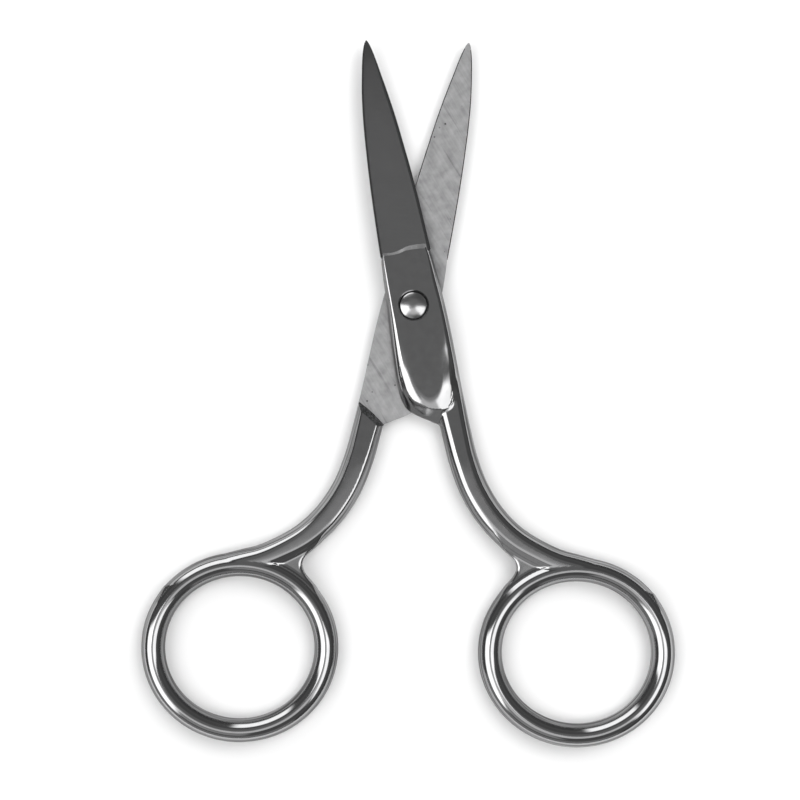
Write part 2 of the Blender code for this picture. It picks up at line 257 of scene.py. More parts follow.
def blended(first, second, radius):
    """The union of two forms, with a fillet of about that radius between them."""
    share = np.clip(radius - np.abs(first - second), 0, None) / radius
    return np.minimum(first, second) - share ** 2 * radius / 4


def handle_plan(places):
    """What the handle's shape needs to know of a place seen from above."""
    across_shank, row = shank_line.nearest(places)
    foot = -plate_foot.nearest(places)[0]
    flat = -plate_flat.nearest(places)[0]
    along_plate = places[:, 1] / plate_drop
    out_x = (places[:, 0] - cushion_middle[0]) / cushion_half[0]
    out_y = np.clip(cushion_middle[1] - places[:, 1], 0, None) / cushion_half[1]
    fall = np.clip((np.hypot(out_x, out_y) - cushion_start) / (1 - cushion_start), 0, cushion_end)
    cushion = cushion_drop * fall ** 2 * ease(cushion_high, cushion_low, -places[:, 1])
    power = plate_power + (plate_low_power - plate_power) * ease(*plate_low, -along_plate)
    return across_shank, *row[:, 2:].T, bow_offset(places), foot, flat, cushion, power


def handle_depth(plan, height):
    """How far a point lies outside the handle's skin: below zero, it is inside."""
    across_shank, half_width, half_height, bow_share, across_bow, foot, flat, cushion, power = plan
    up = height - half_thickness
    section = [own + (bows - own) * bow_share for own, bows in (
        (half_height, bow_tube_height / 2 - wrap_sink), (shank_draft, bow_draft),
        (np.where(up < 0, shank_inner_edge, shank_edge), bow_edge), (shank_crown, bow_crown))]
    shank = forged_bar(across_shank, up, half_width, *section)
    bow = forged_bar(
        across_bow, up, bow_tube_width / 2, bow_tube_height / 2, bow_draft, bow_edge, bow_crown)
    in_fork = ease(0, fork_reach, across_bow) * ease(0, fork_reach, -across_shank)
    shank_plan = np.abs(across_shank) - half_width
    bow_plan = np.abs(across_bow) - bow_tube_width / 2
    alone = ease(*web_alone, np.abs(shank_plan - bow_plan))
    web = blended(shank_plan, bow_plan, web_spread) + web_sink * alone
    web = -blended(-web, web_height / 2 - np.abs(up), web_edge) + (1 - in_fork) * bow_tube_width
    seam = seam_fillet * (1 - seam_loss * bow_share)
    grip = blended(shank, bow, seam + (fillet - seam) * in_fork)
    grip = blended(grip, web, fillet)
    border = flat - foot
    out_share = np.clip(flat, 0, None) / border
    rise = total_thickness - inner_face - cushion
    up_share = np.clip(height - inner_face, 0, None) / rise
    reach = (out_share ** power + up_share ** power) ** (1 / power)
    reach = np.maximum(reach, plate_core)
    depth_scale = border * out_share ** 2 + rise * up_share ** 2
    depth_scale /= np.maximum(out_share ** 2 + up_share ** 2, plate_core ** 2)
    plate = np.maximum((reach - 1) * np.maximum(depth_scale, plate_scale), inner_face - overrun - height)
    return np.maximum(blended(grip, plate, plate_fillet), np.abs(up) - half_thickness)


def skin_mesh(low, high, pitch):
    """Faces over the handle's skin, one vertex in each grid cell that it crosses."""
    axes = [np.arange(low[i], high[i] + pitch, pitch) for i in range(3)]
    x, y = np.meshgrid(axes[0], axes[1], indexing="ij")
    plan = handle_plan(np.column_stack((x.ravel(), y.ravel())))
    inside = np.stack([handle_depth(plan, np.full(x.size, z)).reshape(x.shape) < 0 for z in axes[2]], 2)
    filled = np.zeros([size - 1 for size in inside.shape], int)
    for corner in np.ndindex(2, 2, 2):
        filled += inside[tuple(slice(c, c + size) for c, size in zip(corner, filled.shape))]
    crossed = (filled > 0) & (filled < 8)
    number = np.full(crossed.shape, -1)
    number[crossed] = np.arange(crossed.sum())
    points = np.array(low) + (np.argwhere(crossed) + 0.5) * pitch
    faces = []
    for axis in range(3):
        here = [slice(1, size - 1) for size in inside.shape]
        here[axis] = slice(0, inside.shape[axis] - 1)
        ahead = list(here)
        ahead[axis] = slice(1, inside.shape[axis])
        leaving = inside[tuple(here)] & ~inside[tuple(ahead)]
        entering = ~inside[tuple(here)] & inside[tuple(ahead)]
        offset = [1, 1, 1]
        offset[axis] = 0
        second, third = (axis + 1) % 3, (axis + 2) % 3
        for edges, order in ((leaving, ((1, 1), (0, 1), (0, 0), (1, 0))),
                             (entering, ((1, 1), (1, 0), (0, 0), (0, 1)))):
            cells = np.argwhere(edges) + offset
            corners = []
            for back_second, back_third in order:
                cell = cells.copy()
                cell[:, second] -= back_second
                cell[:, third] -= back_third
                corners.append(number[tuple(cell.T)])
            faces.append(np.column_stack(corners))
    return points, np.vstack(faces)


settle_reach = 0.12 * mm            # furthest that a point moves in one round
settle_rounds = (2, 2, 2, 4)        # each time after the skin is evened out
relax_share = 0.5


def read(items, what, width, kind=np.float32):
    """One value of every item of a mesh, in rows of the given width where that is more than one."""
    values = np.empty(len(items) * width, kind)
    items.foreach_get(what, values)
    return values.reshape(-1, width) if width > 1 else values


def settle(mesh, rounds):
    """Moves a skin's points along their normals until they lie on the handle's form."""
    for _ in range(rounds):
        points = read(mesh.vertices, "co", 3).astype(float)
        normals = read(mesh.vertex_normals, "vector", 3)
        depth = handle_depth(handle_plan(points[:, :2]), points[:, 2])
        points -= np.clip(depth, -settle_reach, settle_reach)[:, None] * normals
        mesh.vertices.foreach_set("co", points.astype(np.float32).ravel())
        mesh.update()


def relax(mesh, share):
    """Evens a skin out: each point moves part of the way to the middle of its neighbours."""
    skin = bmesh.new()
    skin.from_mesh(mesh)
    bmesh.ops.smooth_vert(skin, verts=skin.verts, factor=share,
                          use_axis_x=True, use_axis_y=True, use_axis_z=True)
    skin.to_mesh(mesh)
    skin.free()


handle_low = (-5.0 * mm, -66.0 * mm, -0.3 * mm)     # corners of a box round the whole handle
handle_high = (28.6 * mm, 11.0 * mm, 3.9 * mm)
skin_points, skin_faces = skin_mesh(handle_low, handle_high, skin_pitch)
handle = bpy.data.meshes.new("handle_blank")
handle.from_pydata(skin_points.tolist(), [], skin_faces.tolist())
handle.update()
for rounds in settle_rounds:
    relax(handle, relax_share)
    settle(handle, rounds)

# Blade of one half
# The blade is the same forging, ground to a long low wedge after the joint was finished. Its
# spine and inner corners are broken, and its cutting edge has a bevel of its own.
blade_reach = 37.65 * mm            # pivot axis to point
blade_overlap = 0.25 * mm           # the blade's root runs this far back into the joint plate
spine_width = 3.34 * mm             # axis to spine, at the start of the ground face
edge_width = 3.75 * mm              # axis to cutting edge, at the same place
spine_thickness = 1.58 * mm
edge_thickness = 1.40 * mm
spine_run = 0.30 * mm               # the spine's corner is broken this far across
spine_rise = 0.24 * mm
land_run = 0.13 * mm                # and so are both corners of the inner face, more finely
land_rise = 0.10 * mm
bevel_run = 0.42 * mm
bevel_rise = 0.30 * mm
edge_parts = 4                      # near the point, a bevel takes one part of this many
spine_parts = 3
root_shares = (0.95, 0.95, 1, 1)    # of the first row's widths and thicknesses, at the root
blade_steps = 6                     # sections between two rows of the table
blade_shares = (                    # along; spine's and edge's width; spine's and edge's thickness
    (0.00, 1.000, 1.000, 1.050, 1.17),
    (0.09, 0.982, 0.960, 0.99, 0.93),
    (0.18, 0.958, 0.920, 0.95, 0.73),
    (0.34, 0.900, 0.828, 0.89, 0.48),
    (0.50, 0.812, 0.700, 0.83, 0.42),
    (0.64, 0.705, 0.575, 0.78, 0.43),
    (0.75, 0.583, 0.445, 0.73, 0.45),
    (0.84, 0.440, 0.322, 0.68, 0.48),
    (0.91, 0.310, 0.227, 0.63, 0.50),
    (0.96, 0.192, 0.140, 0.57, 0.50),
    (0.99, 0.085, 0.065, 0.50, 0.49),
    (1.00, 0.030, 0.022, 0.46, 0.48),
)


def loft(name, rings):
    """A closed mesh through rings that have the same number of points."""
    shape = bmesh.new()
    rows = [[shape.verts.new(point) for point in ring] for ring in rings]
    count = len(rings[0])
    for low, high in zip(rows, rows[1:]):
        for first in range(count):
            second = (first + 1) % count
            shape.faces.new((low[first], low[second], high[second], high[first]))
    shape.faces.new(rows[0])
    shape.faces.new(rows[-1])
    bmesh.ops.recalc_face_normals(shape, faces=shape.faces)
    mesh = bpy.data.meshes.new(name)
    shape.to_mesh(mesh)
    shape.free()
    return mesh


def blade_ring(along, spine, edge, spine_up, edge_up):
    """The blade's section there, from its cutting edge over the top to its spine."""
    low = inner_face - overrun
    run = min(bevel_run, edge / edge_parts)
    rise = bevel_rise * run / bevel_run
    land = min(land_run, edge / edge_parts)
    ring = [(edge - land, along, low), (edge - land, along, inner_face),
            (edge, along, inner_face + land_rise), (edge, along, inner_face + edge_up - rise),
            (edge - run, along, inner_face + edge_up)]
    run = min(spine_run, spine / spine_parts)
    rise = spine_rise * run / spine_run
    ring += [(run - spine, along, inner_face + spine_up), (-spine, along, inner_face + spine_up - rise),
             (-spine, along, inner_face + land_rise), (land - spine, along, inner_face),
             (land - spine, along, low)]
    return ring


blade_rows = [(ground_start + share * (blade_reach - ground_start), spine * spine_width,
               edge * edge_width, spine_up * spine_thickness, edge_up * edge_thickness)
              for share, spine, edge, spine_up, edge_up in blade_shares]
blade_rows = smooth_line(blade_rows, blade_steps)
blade_root = (ground_start - blade_overlap, *(blade_rows[0][1:] * root_shares))
blade = loft("blade_blank", [blade_ring(*row) for row in (blade_root, *blade_rows)])

# Joint of one half
# The inner face is ground flat, and a leaning shoulder ends it where the handle takes its full
# thickness again. The drilled hole has a seat for the rivet's head in front, a cone behind.
shoulder_slope = 1.25 * mm          # how far the shoulder leans over half the thickness
shoulder_shares = ((1.90, -0.76), (0.975, -0.855), (0.577, -0.908), (0.273, -0.960), (0.002, -1.012),
                   (-0.60, -1.15), (-1.60, -1.45))
grind_shares = ((-1.30, 1.045), (-0.88, 1.030), (-0.50, 1.005), (-0.20, 1.010), (0.06, 1.040),
                (0.30, 1.042), (0.74, 1.018), (1.20, 0.995))
grind_slope = 0.322                 # height over run of the step down to the ground face
grind_run = 1.2 * mm                # the step's reach along the blade, deep enough to clear it


def grind_cutter():
    """Clears the joint plate's end, so that its flat steps down to the blade's ground face."""
    reach = blade_reach + overrun
    rings = []
    for height, run in ((total_thickness + overrun, -overrun / grind_slope),
                        (total_thickness - grind_run * grind_slope, grind_run), (-overrun, grind_run)):
        line = smooth_line([plate_place(*share) for share in grind_shares], outline_steps)
        ring = [(x, y + run, height) for x, y in line]
        rings.append(ring + [(ring[-1][0], reach, height), (ring[0][0], reach, height)])
    return loft("grind_cutter", rings)


def shoulder_cutter():
    """Clears the other half's layer, up to the leaning shoulder."""
    reach = blade_reach + overrun
    rings = []
    low_lean = shoulder_slope * (inner_face + overrun) / half_thickness
    for height, lean in ((inner_face, 0), (-overrun, low_lean)):
        shoulder = smooth_line([plate_place(*share) for share in shoulder_shares], outline_steps)
        ring = [(x, y - lean, height) for x, y in shoulder]
        first, last = ring[0][1], ring[-1][1]
        rings.append(ring + [(x, y, height) for x, y in (
            (-bow_across, last), (-bow_across, reach), (bow_across, reach), (bow_across, first))])
    return loft("shoulder_cutter", rings)


def joined(name, mesh, steps):
    """A mesh after Boolean steps, each an operation and the mesh that it takes."""
    work = bpy.data.objects.new(name, mesh)
    bpy.context.scene.collection.objects.link(work)
    others = []
    for operation, other in steps:
        others.append(bpy.data.objects.new(name + "_tool", other))
        bpy.context.scene.collection.objects.link(others[-1])
        modifier = work.modifiers.new(operation, "BOOLEAN")
        modifier.operation = operation
        modifier.solver = "MANIFOLD"
        modifier.object = others[-1]
    bpy.context.view_layer.update()
    result = bpy.data.meshes.new_from_object(work.evaluated_get(bpy.context.evaluated_depsgraph_get()))
    for used in (work, *others):
        bpy.data.objects.remove(used)
    result.name = name
    return result


blank = joined("half_blank", handle, (("DIFFERENCE", grind_cutter()), ("UNION", blade),
                                      ("DIFFERENCE", shoulder_cutter())))

seat_diameter = 3.9 * mm            # before its clearance
seat_depth = 0.35 * mm
rim_chamfer = 0.18 * mm
rivet_diameter = 2.2 * mm
rivet_clearance = 0.05 * mm
seat_wall = seat_diameter / 2 + rivet_clearance
bore_radius = rivet_diameter / 2 + rivet_clearance
tail_diameter = 3.0 * mm
tail_depth = 0.7 * mm
turned_sides = 96                   # faces round a hole, and round the rivet
weld_reach = 0.0001 * mm            # points nearer than this are one


class Value:
    """A node's output, which Python's own operators turn into Math nodes."""

    def __init__(self, tree, socket):
        self.tree = tree
        self.socket = socket

    def out(self, name):
        return Value(self.tree, self.socket.node.outputs[name])

    def maths(self, operation, *others):
        return self.tree.add("ShaderNodeMath", dict(enumerate((self, *others))), operation=operation)

    def __add__(self, other):
        return self.maths("ADD", other)

    def __sub__(self, other):
        return self.maths("SUBTRACT", other)

    def __rsub__(self, other):
        return self.tree.add("ShaderNodeMath", {0: other, 1: self}, operation="SUBTRACT")

    def __mul__(self, other):
        return self.maths("MULTIPLY", other)

    def __truediv__(self, other):
        return self.maths("DIVIDE", other)

    __radd__ = __add__
    __rmul__ = __mul__

    def step(self, low, high):
        """0 at low, 1 at high, and a smooth step between them."""
        return self.tree.add("ShaderNodeMapRange", {"Value": self, "From Min": low, "From Max": high},
                             interpolation_type="SMOOTHSTEP")


class Tree:
    """A node tree that is written as calls: each adds one node and returns its first output."""

    def __init__(self, nodes):
        self.nodes = nodes

    def add(self, kind, values=(), stops=(), **settings):
        node = self.nodes.nodes.new(kind)
        for name, value in settings.items():
            setattr(node, name, value)
        for index, (place, colour) in enumerate(stops):
            ramp = node.color_ramp.elements
            element = ramp[index] if index < len(ramp) else ramp.new(place)
            element.position = place
            element.color = colour
        self.feed(node, values)
        return Value(self, node.outputs[0]) if node.outputs else None

    def feed(self, node, values):
        for name, value in dict(values).items():
            socket = node.inputs[name]
            if isinstance(value, Value):
                self.nodes.links.new(value.socket, socket)
            else:
                socket.default_value = value


def turning_tree():
    """Geometry nodes that turn a profile in the XZ plane about Z."""
    nodes = bpy.data.node_groups.new("turned_shape", "GeometryNodeTree")
    nodes.interface.new_socket("Profile", in_out="INPUT", socket_type="NodeSocketGeometry")
    nodes.interface.new_socket("Sides", in_out="INPUT", socket_type="NodeSocketInt")
    nodes.interface.new_socket("Material", in_out="INPUT", socket_type="NodeSocketMaterial")
    nodes.interface.new_socket("Shape", in_out="OUTPUT", socket_type="NodeSocketGeometry")
    tree = Tree(nodes)
    given = tree.add("NodeGroupInput")
    size = tree.add("GeometryNodeAttributeDomainSize", {"Geometry": given.out("Profile")})
    count = size.out("Point Count")
    around = given.out("Sides") + 1
    grid = tree.add("GeometryNodeMeshGrid", {"Vertices X": count, "Vertices Y": around}).out("Mesh")
    index = tree.add("GeometryNodeInputIndex")
    row = (index / around).maths("FLOOR")
    turn = index.maths("MODULO", around) / given.out("Sides") * math.tau
    place = tree.add("GeometryNodeInputPosition")
    spot = tree.add("GeometryNodeSampleIndex",
                    {"Geometry": given.out("Profile"), "Value": place, "Index": row},
                    data_type="FLOAT_VECTOR")
    spot = tree.add("ShaderNodeVectorRotate", {"Vector": spot, "Angle": turn}, rotation_type="Z_AXIS")
    shape = tree.add("GeometryNodeSetPosition", {"Geometry": grid, "Position": spot})
    shape = tree.add("GeometryNodeMergeByDistance", {"Geometry": shape, "Distance": weld_reach})
    shape = tree.add("GeometryNodeRealizeInstances", {"Geometry": shape})
    shape = tree.add("GeometryNodeSetMaterial", {"Geometry": shape, "Material": given.out("Material")})
    tree.add("NodeGroupOutput", {"Shape": shape})
    return nodes


turned_shape = turning_tree()


def turned(name, profile, material=None):
    """A closed mesh turned about the pivot axis from a profile that runs down its outer side."""
    line = bpy.data.meshes.new(name)
    line.from_pydata([(radius, 0, height) for radius, height in profile],
                     [(low, low + 1) for low in range(len(profile) - 1)], [])
    work = bpy.data.objects.new(name, line)
    bpy.context.scene.collection.objects.link(work)
    modifier = work.modifiers.new("Turned", "NODES")
    modifier.node_group = turned_shape
    sockets = {item.name: item.identifier for item in turned_shape.interface.items_tree}
    modifier[sockets["Sides"]] = turned_sides
    modifier[sockets["Material"]] = material
    bpy.context.view_layer.update()
    mesh = bpy.data.meshes.new_from_object(work.evaluated_get(bpy.context.evaluated_depsgraph_get()))
    bpy.data.objects.remove(work)
    shape = bmesh.new()
    shape.from_mesh(mesh)
    bmesh.ops.remove_doubles(shape, verts=shape.verts, dist=weld_reach)
    bmesh.ops.dissolve_degenerate(shape, edges=shape.edges, dist=weld_reach)
    bmesh.ops.recalc_face_normals(shape, faces=shape.faces)
    shape.to_mesh(mesh)
    shape.free()
    mesh.name = name
    return mesh


def head_hole():
    """The bore, with a straight-sided seat for the rivet's head, chamfered at its mouth."""
    above = total_thickness + overrun
    return turned("head_hole", (
        (0, above), (seat_wall + rim_chamfer + overrun, above),
        (seat_wall, total_thickness - rim_chamfer), (seat_wall, total_thickness - seat_depth),
        (bore_radius, total_thickness - seat_depth), (bore_radius, -overrun), (0, -overrun)))


def tail_hole():
    """The bore, with a cone for the rivet's spread tail."""
    mouth_radius = tail_diameter / 2 + rivet_clearance
    widening = (mouth_radius - bore_radius) / tail_depth
    above = total_thickness + overrun
    return turned("tail_hole", (
        (0, above), (mouth_radius + overrun * widening, above),
        (bore_radius, total_thickness - tail_depth), (bore_radius, -overrun), (0, -overrun)))


# Front half and rear half
# The rear half is the same steel forging turned over. Both are polished and plated outside, with
# the grinding belt's streaks left on their sides, and their inner faces are only ground. The
# rivet holds them together, and the front half turns on it.
steel_tint = (1.0, 1.0, 1.01)
relief_height = 0.002 * mm          # of one step in the height that a bump is given


def metal(name, finish):
    """A metal whose colour, roughness and relief are drawn by the given function."""
    material = bpy.data.materials.new(name)
    material.use_nodes = True
    tree = Tree(material.node_tree)
    tree.feed(material.node_tree.nodes["Principled BSDF"], finish(tree))
    return material


def noise(tree, place, scales, detail, **values):
    """Noise stretched by its own number of spots to a metre along each axis."""
    spread = tree.add("ShaderNodeVectorMath", {0: place, 1: scales}, operation="MULTIPLY")
    values = {name.capitalize(): value for name, value in values.items()}
    return tree.add("ShaderNodeTexNoise", {"Vector": spread, "Scale": 1.0, "Detail": detail, **values},
                    noise_dimensions="4D" if values else "3D")


def grey(tree, level, tint):
    """The tint at the given brightness."""
    return tree.add("ShaderNodeVectorMath", {0: tint, "Scale": level}, operation="SCALE")


mirror_level = 0.50                 # brightness of the polished plate
mirror_rough = 0.07
shaded_side_level = 0.18                   # brightness of its sides between their streaks, partly painted shade: darker than the polish for the dim floor that they mirror
shaded_side_least = 0.06
side_rough = 0.16
side_lean = (0.78, 0.50)            # how far a face looks up where its side finish, with its painted shade, begins and is whole
belt_streaks = 3600                 # to a metre
seat_painted_shadow = 0.92                   # painted shadow: how much darker the plate is drawn inside the seat's wall, for the shade of the gap round the rivet's head
seat_fade = 0.03 * mm               # how far outside the wall that shade ends


def polished_plate(tree):
    """Mirror polish on the tops; sides with the streaks of the belt that ground them, drawn darker by how
    far they look sideways as painted shade for the dim floor they mirror, and a painted shadow round the
    rivet's seat.
    """
    place = tree.add("ShaderNodeTexCoord").out("Object")
    across = tree.add("ShaderNodeAttribute", attribute_name="across").out("Fac")
    facing = tree.add("ShaderNodeNewGeometry").out("Normal")
    facing = tree.add("ShaderNodeSeparateXYZ", {0: facing}).out("Z")
    side = facing.maths("ABSOLUTE").step(*side_lean)
    streaks = noise(tree, place, (90, 90, belt_streaks), 4.0, w=across * belt_streaks)
    wave = noise(tree, place, (260, 260, 260), 1.0)
    cloud = noise(tree, place, (900, 900, 900), 4.0)
    level = mirror_level + (cloud - 0.5) * 0.07
    side_shade_and_streaks = (shaded_side_level + (streaks - 0.5) * 1.0).maths("MAXIMUM", shaded_side_least)
    # painted shade: faces that look sideways take the darker streaked level, standing in for the dim floor
    # that they mirror
    level = level + side * (side_shade_and_streaks - level)
    flat_place = tree.add("ShaderNodeVectorMath", {0: place, 1: (1, 1, 0)}, operation="MULTIPLY")
    radius = tree.add("ShaderNodeVectorMath", {0: flat_place}, operation="LENGTH").out("Value")
    # painted shadow: inside the seat's wall round the pivot the plate is drawn darker, as the gap round
    # the rivet's head lies in shade
    level = level * (1 - radius.step(seat_wall + seat_fade, seat_wall) * seat_painted_shadow)
    rough = mirror_rough + cloud * 0.04 + side * (side_rough + streaks * 0.16)
    relief = wave * 8 + streaks * 0.25
    normal = tree.add("ShaderNodeBump", {"Strength": 1.0, "Distance": relief_height, "Height": relief})
    return {"Metallic": 1.0, "Base Color": grey(tree, level, steel_tint), "Roughness": rough,
            "Normal": normal}


blade_level = 0.50
blade_rough = 0.12
wheel_lines = 9000                  # to a metre along the blade


def ground_blade(tree):
    """A fine satin that runs across the blade, as the wheel ground it, polished once over."""
    place = tree.add("ShaderNodeTexCoord").out("Object")
    lines = noise(tree, place, (500, wheel_lines, 500), 4.0)
    cloud = noise(tree, place, (420, 420, 420), 3.0)
    level = blade_level + (lines - 0.5) * 0.06 + (cloud - 0.5) * 0.05
    relief = lines + cloud * 6
    normal = tree.add("ShaderNodeBump", {"Strength": 1.0, "Distance": relief_height / 2, "Height": relief})
    return {"Metallic": 1.0, "Base Color": grey(tree, level, steel_tint),
            "Roughness": blade_rough + lines * 0.06, "Normal": normal}


wheel_slant = math.radians(58.0)
inner_level = 0.395
inner_metal = 0.6                   # ground so coarsely that it mirrors only in part
inner_rough = 0.46
pit_spread = 900.0                  # cells to a metre, each with at most one pit
pit_radius = (0.16, 0.08)           # share of a cell where a pit begins and is at its darkest
pit_patches = (0.55, 0.62)          # noise levels between which pits appear
deep_marks = (0.60, 0.70)           # and those between which a wheel mark is a deep one


def ground_inner_face(tree):
    """The unpolished face between the halves: slanting wheel marks, blotches and a few pits."""
    place = tree.add("ShaderNodeTexCoord").out("Object")
    slanted = tree.add("ShaderNodeVectorRotate", {"Vector": place, "Angle": wheel_slant},
                       rotation_type="Z_AXIS")
    marks = noise(tree, slanted, (130, 3000, 0), 4.0)
    blotch = noise(tree, place, (700, 700, 0), 3.0)
    pits = tree.add("ShaderNodeTexVoronoi", {"Vector": place, "Scale": pit_spread})
    kept = noise(tree, place, (350, 350, 0), 0.0).step(*pit_patches)
    pits = pits.step(*pit_radius) * kept
    deep = noise(tree, slanted, (60, 1500, 0), 2.0).step(*deep_marks)
    level = inner_level + (marks - 0.5) * 0.20 + (blotch - 0.5) * 0.34 - deep * 0.10 - pits * 0.28
    normal = tree.add("ShaderNodeBump", {"Strength": 1.0, "Distance": relief_height, "Height": marks})
    return {"Metallic": inner_metal, "Base Color": grey(tree, level, steel_tint),
            "Roughness": inner_rough + blotch * 0.1, "Normal": normal}


plated = metal("polished_plate", polished_plate)
blade_finish = metal("ground_blade", ground_blade)
inner_finish = metal("ground_inner_face", ground_inner_face)
skin_probe = 0.02 * mm              # how far round a point its form is felt
skin_reach = 0.03 * mm              # a face this near the handle's form lies on it
skin_agreement = 0.85               # cosine of the most that the form and the face may differ there
sharp_angle = math.radians(9)       # edges that bend further than this stay crisp
tiny = 1e-12                        # keeps a direction without length from dividing by nothing
inner_facing = -0.99                # a face that looks down this far, at that height, is the inner one
inner_tolerance = 0.01 * mm
blade_facing = 0.9                  # and one that looks up this far, from there on, is the ground one
blade_from = 0.95 * ground_start
blade_below = total_thickness - 0.1 * mm


def skin_normals(points):
    """The handle's outward directions, from how its depth changes around each point."""
    slopes = []
    for axis in range(3):
        reach = skin_probe * np.eye(3)[axis]
        ahead, behind = points + reach, points - reach
        slopes.append(handle_depth(handle_plan(ahead[:, :2]), ahead[:, 2])
                      - handle_depth(handle_plan(behind[:, :2]), behind[:, 2]))
    slopes = np.column_stack(slopes)
    return slopes / np.maximum(np.linalg.norm(slopes, axis=1), tiny)[:, None]


def forged_half(name, body, pose, hole):
    """One half: its hole is cut, its faces get their finishes, and it is turned to its place."""
    mesh = joined(name, blank.copy(), (("DIFFERENCE", hole),))
    normals = read(mesh.polygons, "normal", 3)
    centres = read(mesh.polygons, "center", 3)
    points = read(mesh.vertices, "co", 3).astype(float)

    finish = np.zeros(len(centres), np.int32)
    finish[(normals[:, 2] < inner_facing) & (abs(centres[:, 2] - inner_face) < inner_tolerance)] = 1
    finish[(normals[:, 2] > blade_facing) & (centres[:, 1] > blade_from)
           & (centres[:, 2] < blade_below)] = 2
    mesh.materials.clear()
    for material in (plated, inner_finish, blade_finish):
        mesh.materials.append(material)
    mesh.polygons.foreach_set("material_index", finish)

    across_shank, half_width, _, _, across_bow, foot, *_ = handle_plan(points[:, :2])
    on_shank = np.abs(across_shank) - half_width < np.abs(across_bow) - bow_tube_width / 2
    across = np.where(on_shank, across_shank, across_bow)
    across = np.where((foot < 0) | (points[:, 1] > 0), points[:, 0], across)
    mesh.attributes.new("across", "FLOAT", "POINT").data.foreach_set("value", across.astype(np.float32))

    mesh.shade_smooth()
    mesh.set_sharp_from_angle(angle=sharp_angle)
    corner_normals = read(mesh.corner_normals, "vector", 3)
    corner_counts = read(mesh.polygons, "loop_total", 1, np.int32)
    own = skin_normals(points)[read(mesh.loops, "vertex_index", 1, np.int32)]
    depth = handle_depth(handle_plan(centres[:, :2].astype(float)), centres[:, 2])
    use = np.repeat(np.abs(depth) < skin_reach, corner_counts)
    use &= (own * corner_normals).sum(1) > skin_agreement
    corner_normals[use] = own[use]
    mesh.transform(pose)
    corner_normals = corner_normals @ np.array(pose.to_3x3()).T
    mesh.normals_split_custom_set(corner_normals.tolist())

    half = bpy.data.objects.new(name + "_forging", mesh)
    bpy.context.scene.collection.objects.link(half)
    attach(half, body)
    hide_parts(name)


half_opening = math.radians(22.0) / 2       # of the pair in the photo
turned_over = Matrix.Translation((0, 0, total_thickness)) @ Matrix.Rotation(-half_opening, 4, "Z")
turned_over = turned_over @ Matrix.Rotation(math.pi, 4, "Y")
forged_half("front_half", "front", Matrix.Rotation(half_opening, 4, "Z"), head_hole())
forged_half("rear_half", "rear", turned_over, tail_hole())

# Pivot rivet
# The rivet is steel, turned with a low domed head that has no slot, and polished by hand. Its
# plain shank runs through both halves, and its tail is spread in the rear half's cone and
# ground level, so the rivet turns with the rear half.
head_radius = 1.84 * mm
head_rise = 0.42 * mm               # the dome's top over the front plate
head_round = 0.10 * mm              # where the dome turns down into the head's side
head_corner = (0.3, 0.4)            # shares of that round: in from the side, and down
dome_rise = 0.30 * mm
dome_rings = 30
rivet_level = 0.56
rivet_rough = 0.16
rivet_sharp = math.radians(32)      # edges that bend further than this stay crisp


def rivet_polish(tree):
    """Rubbed by hand rather than buffed, so its glints are soft and a little patchy."""
    place = tree.add("ShaderNodeTexCoord").out("Object")
    rub = noise(tree, place, (500, 2600, 500), 3.0)
    cloud = noise(tree, place, (900, 900, 900), 2.0)
    relief = rub + cloud * 3
    normal = tree.add("ShaderNodeBump", {"Strength": 1.0, "Distance": relief_height, "Height": relief})
    return {"Metallic": 1.0, "Base Color": grey(tree, rivet_level + (rub - 0.5) * 0.12, steel_tint),
            "Roughness": rivet_rough + rub * 0.06, "Normal": normal}


def rivet_profile():
    """The rivet's outline from the top of its dome down to the middle of its tail."""
    dome_edge = head_radius - head_round
    dome_radius = (dome_edge ** 2 + dome_rise ** 2) / (2 * dome_rise)
    dome_middle = total_thickness + head_rise - dome_radius
    dome_foot = total_thickness + head_rise - dome_rise
    seat = total_thickness - seat_depth + rivet_clearance
    across, down = head_corner
    profile = []
    for ring in range(dome_rings + 1):
        out = dome_edge * ring / dome_rings
        profile.append((out, dome_middle + math.sqrt(dome_radius ** 2 - out ** 2)))
    return profile + [
        (head_radius - across * head_round, dome_foot - down * head_round),
        (head_radius, dome_foot - head_round), (head_radius, seat), (rivet_diameter / 2, seat),
        (rivet_diameter / 2, tail_depth), (tail_diameter / 2, 0), (0, 0)]


rivet_mesh = turned("domed_rivet", rivet_profile(), metal("rivet_polish", rivet_polish))
rivet = bpy.data.objects.new("domed_rivet", rivet_mesh)
bpy.context.scene.collection.objects.link(rivet)
rivet.data.shade_smooth()
rivet.data.set_sharp_from_angle(angle=rivet_sharp)
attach(rivet, "rear")
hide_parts("pivot_rivet")

# Studio
# The pair lies on matt white paper under two large soft lamps that the steel doesn't mirror.
# What it does mirror is a dim room with a light strip overhead and a few soft bright patches.
paper_side = 2.6
paper_top = -0.00002                # a hair below the rivet's tail
paper_under = -0.002
paper_white = 0.94
paper_rough = 0.9
paper_sheen = 0.1
corners = [(x * paper_side / 2, y * paper_side / 2) for x, y in ((-1, -1), (1, -1), (1, 1), (-1, 1))]
floor = bpy.data.objects.new("floor", loft("floor", [
    [(x, y, z) for x, y in corners] for z in (paper_under, paper_top)]))
bpy.context.scene.collection.objects.link(floor)
paper = bpy.data.materials.new("paper")
paper.use_nodes = True
shader = paper.node_tree.nodes["Principled BSDF"]
shader.inputs["Base Color"].default_value = (paper_white, paper_white, paper_white, 1)
shader.inputs["Roughness"].default_value = paper_rough
shader.inputs["Specular IOR Level"].default_value = paper_sheen
floor.data.materials.append(paper)

